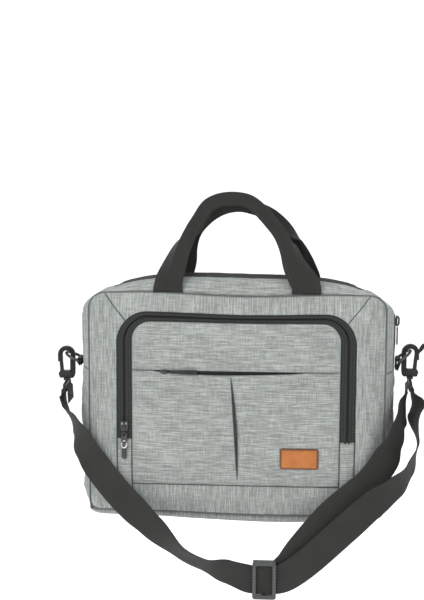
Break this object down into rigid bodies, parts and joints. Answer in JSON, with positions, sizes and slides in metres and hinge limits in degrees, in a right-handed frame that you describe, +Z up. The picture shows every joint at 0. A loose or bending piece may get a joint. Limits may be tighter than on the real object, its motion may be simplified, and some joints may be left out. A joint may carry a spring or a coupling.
{
  "type": "messenger bag",
  "caption": "Soft laptop messenger bag in grey fabric with an arched zipped front pocket, webbing grab handles and a clip-on adjustable shoulder strap.",
  "frame": {"origin": "middle of the flat of the base, on the surface the bag stands on", "axes": "+X to the right seen from the front, the front pocket faces -Y, +Z up"},
  "size_m": [0.4871, 0.1318, 0.5237],
  "materials": {
    "melange_fabric": "heathered grey polyester, matt",
    "black_webbing": "ribbed black webbing",
    "zip_tape": "black woven tape",
    "zip_coil": "nylon coil",
    "black_plastic": "moulded, fine grain",
    "black_metal": "black enamel",
    "tan_leather": "smooth, waxed",
    "lining": "thin dark lining",
    "foam": "closed-cell foam",
    "stiffener": "plain board"
  },
  "bodies": {
    "bag": {"front_body_panel": "lining", "front_foam_pad": "foam", "rear_body_panel": "melange_fabric", "rear_foam_pad": "foam", "laptop_divider": "lining", "main_lining": "lining", "base_panel": "melange_fabric", "base_board": "stiffener", "side_gusset_left": "melange_fabric", "side_gusset_right": "melange_fabric", "front_zip_gusset": "melange_fabric", "rear_zip_gusset": "melange_fabric", "main_zip_tape_front": "zip_tape", "main_zip_tape_rear": "zip_tape", "main_zip_coil_front": "zip_coil", "main_zip_coil_rear": "zip_coil", "edge_binding_front": "zip_tape", "edge_binding_rear": "zip_tape", "pocket_frame_left": "melange_fabric", "pocket_frame_right": "melange_fabric", "pocket_frame_top": "melange_fabric", "pocket_frame_bottom": "melange_fabric", "zip_end_strip_left": "melange_fabric", "zip_end_strip_right": "melange_fabric", "pocket_panel_lower": "melange_fabric", "leather_patch": "tan_leather", "pocket_zip_tape_outer": "zip_tape", "pocket_zip_coil_outer": "zip_coil", "pocket_zip_end_left": "zip_tape", "pocket_zip_end_right": "zip_tape", "side_tab_left": "black_webbing", "side_tab_right": "black_webbing"},
    "pocket_door": {"pocket_panel_middle": "melange_fabric", "pocket_panel_upper": "melange_fabric", "welt_zip": "zip_tape", "pocket_zip_tape_inner": "zip_tape", "pocket_zip_coil_inner": "zip_coil"},
    "front_grip": {"front_handle": "black_webbing"},
    "rear_grip": {"rear_handle": "black_webbing"},
    "ring_left": {"d_ring_left": "black_metal"},
    "ring_right": {"d_ring_right": "black_metal"},
    "strap": {"strap_webbing": "black_webbing", "hook_base_left": "black_plastic", "hook_base_right": "black_plastic"},
    "snap_left": {"hook_left": "black_plastic"},
    "snap_right": {"hook_right": "black_plastic"},
    "gate_left": {"hook_gate_left": "black_plastic"},
    "gate_right": {"hook_gate_right": "black_plastic"},
    "adjuster": {"strap_adjuster": "black_plastic", "strap_end_loop": "black_webbing"},
    "pocket_zip_slider": {"pocket_slider": "black_metal"},
    "pocket_zip_puller": {"pocket_puller": "black_metal"},
    "main_zip_slider": {"main_slider": "black_metal"},
    "main_zip_puller": {"main_puller": "black_metal"},
    "welt_zip_slider": {"welt_slider": "black_metal"},
    "welt_zip_puller": {"welt_puller": "black_plastic"}
  },
  "joints": [
    {"name": "front_handle_fold", "type": "hinge", "parent": "bag", "child": "front_grip", "pos_m": [0, -0.0404, 0.3062], "axis": [1, 0, 0], "range_deg": [0, 130], "stiffness_Nm_per_rad": 0.3},
    {"name": "rear_handle_fold", "type": "hinge", "parent": "bag", "child": "rear_grip", "pos_m": [0, 0.0406, 0.3062], "axis": [-1, 0, 0], "range_deg": [0, 130], "stiffness_Nm_per_rad": 0.3},
    {"name": "strap_swing", "type": "hinge", "parent": "bag", "child": "strap", "pos_m": [-0.0009, 0, 0.2254], "axis": [-0.9998, 0, -0.0215], "range_deg": [0, 24], "stiffness_Nm_per_rad": 0.5},
    {"name": "left_hook_swivel", "type": "hinge", "parent": "strap", "child": "snap_left", "pos_m": [-0.2291, 0, 0.1905], "axis": [0, 0, 1], "range_deg": [-12, 12]},
    {"name": "right_hook_swivel", "type": "hinge", "parent": "strap", "child": "snap_right", "pos_m": [0.2273, 0, 0.2003], "axis": [0, 0, 1], "range_deg": [-12, 12]},
    {"name": "left_gate_press", "type": "hinge", "parent": "snap_left", "child": "gate_left", "pos_m": [-0.2376, -0.0042, 0.2085], "axis": [0, -1, 0], "range_deg": [0, 18], "stiffness_Nm_per_rad": 0.02},
    {"name": "right_gate_press", "type": "hinge", "parent": "snap_right", "child": "gate_right", "pos_m": [0.2358, -0.0042, 0.2183], "axis": [0, 1, 0], "range_deg": [0, 18], "stiffness_Nm_per_rad": 0.02},
    {"name": "left_ring_tilt", "type": "hinge", "parent": "bag", "child": "ring_left", "pos_m": [-0.211, 0, 0.206], "axis": [0, -1, 0], "range_deg": [0, 12], "stiffness_Nm_per_rad": 0.05},
    {"name": "right_ring_tilt", "type": "hinge", "parent": "bag", "child": "ring_right", "pos_m": [0.2115, 0, 0.212], "axis": [0, 1, 0], "range_deg": [0, 12], "stiffness_Nm_per_rad": 0.05},
    {"name": "strap_adjuster_slide", "type": "slide", "parent": "strap", "child": "adjuster", "axis": [1, 0, 0], "range_m": [-0.004, 0.0012]},
    {"name": "pocket_slider_travel", "type": "slide", "parent": "bag", "child": "pocket_zip_slider", "axis": [0, 0, 1], "range_m": [0, 0.098]},
    {"name": "pocket_puller_lift", "type": "hinge", "parent": "pocket_zip_slider", "child": "pocket_zip_puller", "pos_m": [-0.1447, -0.0613, 0.1214], "axis": [-1, 0, 0], "range_deg": [0, 110]},
    {"name": "main_slider_travel", "type": "slide", "parent": "bag", "child": "main_zip_slider", "axis": [0, 0, 1], "range_m": [-0.012, 0.01]},
    {"name": "main_puller_lift", "type": "hinge", "parent": "main_zip_slider", "child": "main_zip_puller", "pos_m": [0.2094, 0, 0.2554], "axis": [0, -1, 0], "range_deg": [0, 110]},
    {"name": "welt_slider_travel", "type": "slide", "parent": "pocket_door", "child": "welt_zip_slider", "axis": [0.9998, -0.0218, 0], "range_m": [0, 0.06]},
    {"name": "welt_puller_lift", "type": "hinge", "parent": "welt_zip_slider", "child": "welt_zip_puller", "pos_m": [-0.0856, -0.0658, 0.2035], "axis": [0, 0, -1], "range_deg": [0, 80]},
    {"name": "pocket_door_fold", "type": "hinge", "parent": "bag", "child": "pocket_door", "pos_m": [0, -0.064, 0.138], "axis": [1, 0, 0], "range_deg": [0, 70], "stiffness_Nm_per_rad": 0.3}
  ]
}
